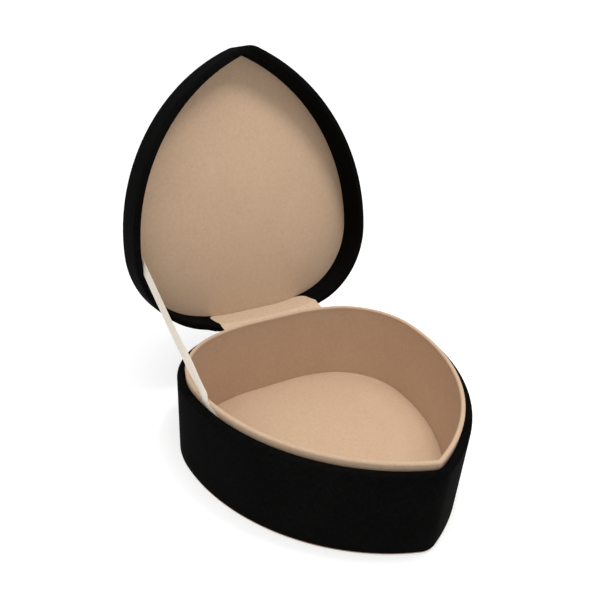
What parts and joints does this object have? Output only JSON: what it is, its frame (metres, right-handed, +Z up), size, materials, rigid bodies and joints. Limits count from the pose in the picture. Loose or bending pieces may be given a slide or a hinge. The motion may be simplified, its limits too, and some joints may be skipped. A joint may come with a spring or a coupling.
{
  "type": "wind up music box",
  "caption": "Pointed heart-shaped velvet keepsake box with a hinged lid on a ribbon stay, beige lining and a wind-up comb movement.",
  "frame": {"origin": "middle of the underside, half way from the hinge side to the nose", "axes": "+Z up, nose towards -Y, hinge side towards +Y, hinge line along X"},
  "size_m": [0.1748, 0.2369, 0.2289],
  "materials": {
    "black_velvet": "short black velvet pile",
    "wall_board": "pressed board",
    "lining_card": "pinkish beige card",
    "beige_lining": "short-napped beige lining",
    "hinge_cloth": "beige cloth",
    "ivory_ribbon": "ivory satin ribbon",
    "top_padding": "thin foam wadding",
    "wood": "planed softwood",
    "brass": "satin brass",
    "steel": "brushed steel",
    "nickel": "nickel plated"
  },
  "bodies": {
    "base": {"underside_card": "lining_card", "base_board": "wall_board", "floor_card": "lining_card", "floor_lining": "beige_lining", "wall_board": "wall_board", "velvet_wrap": "black_velvet", "collar_card": "lining_card", "collar_lining": "beige_lining", "hinge_leaf_lower": "hinge_cloth", "movement_frame": "wood", "bedplate": "brass", "bedplate_screws": "steel", "cylinder_bearings": "brass", "comb_rest": "steel", "comb": "steel", "comb_screws": "steel", "governor_bracket": "brass", "movement_housing": "lining_card", "housing_lining": "beige_lining"},
    "lid": {"lid_wall_board": "wall_board", "lid_top_board": "wall_board", "lid_top_pad": "top_padding", "lid_velvet": "black_velvet", "lid_panel_card": "lining_card", "lid_panel_lining": "beige_lining", "hinge_leaf_upper": "hinge_cloth", "ribbon_stay": "ivory_ribbon"},
    "winding": {"winding_shaft": "steel", "winding_key": "nickel"},
    "barrel": {"spring_barrel": "nickel", "barrel_cap": "nickel", "mainspring": "steel"},
    "cylinder": {"pinned_cylinder": "brass", "cylinder_arbor": "steel", "great_wheel": "brass"},
    "governor": {"governor_wheel": "brass"},
    "fly": {"air_brake": "steel"}
  },
  "joints": [
    {"name": "lid_hinge", "type": "hinge", "parent": "base", "child": "lid", "pos_m": [0, 0.09, 0.0525], "axis": [-1, 0, 0], "range_deg": [-99.5, 0], "deforming": ["ribbon_stay"]},
    {"name": "key_turn", "type": "hinge", "parent": "base", "child": "winding", "pos_m": [-0.03048, -0.02923, 0.0031], "axis": [0, 0, 1], "continuous": true},
    {"name": "cylinder_turn", "type": "hinge", "parent": "base", "child": "cylinder", "pos_m": [-0.01555, -0.04176, 0.0164], "axis": [0.766, -0.6428, 0], "continuous": true},
    {"name": "barrel_turn", "type": "hinge", "parent": "base", "child": "barrel", "pos_m": [-0.03048, -0.02923, 0.0101], "axis": [0, 0, 1], "continuous": true},
    {"name": "governor_turn", "type": "hinge", "parent": "base", "child": "governor", "pos_m": [-0.01143, -0.05553, 0.01355], "axis": [0.766, -0.6428, 0], "continuous": true},
    {"name": "fly_spin", "type": "hinge", "parent": "base", "child": "fly", "pos_m": [-0.01342, -0.05882, 0.0151], "axis": [0, 0, 1], "continuous": true}
  ],
  "couplings": [
    {"joint": "barrel_turn", "follows": "cylinder_turn", "ratio": 0.33333},
    {"joint": "governor_turn", "follows": "cylinder_turn", "ratio": -3},
    {"joint": "fly_spin", "follows": "cylinder_turn", "ratio": -42}
  ]
}
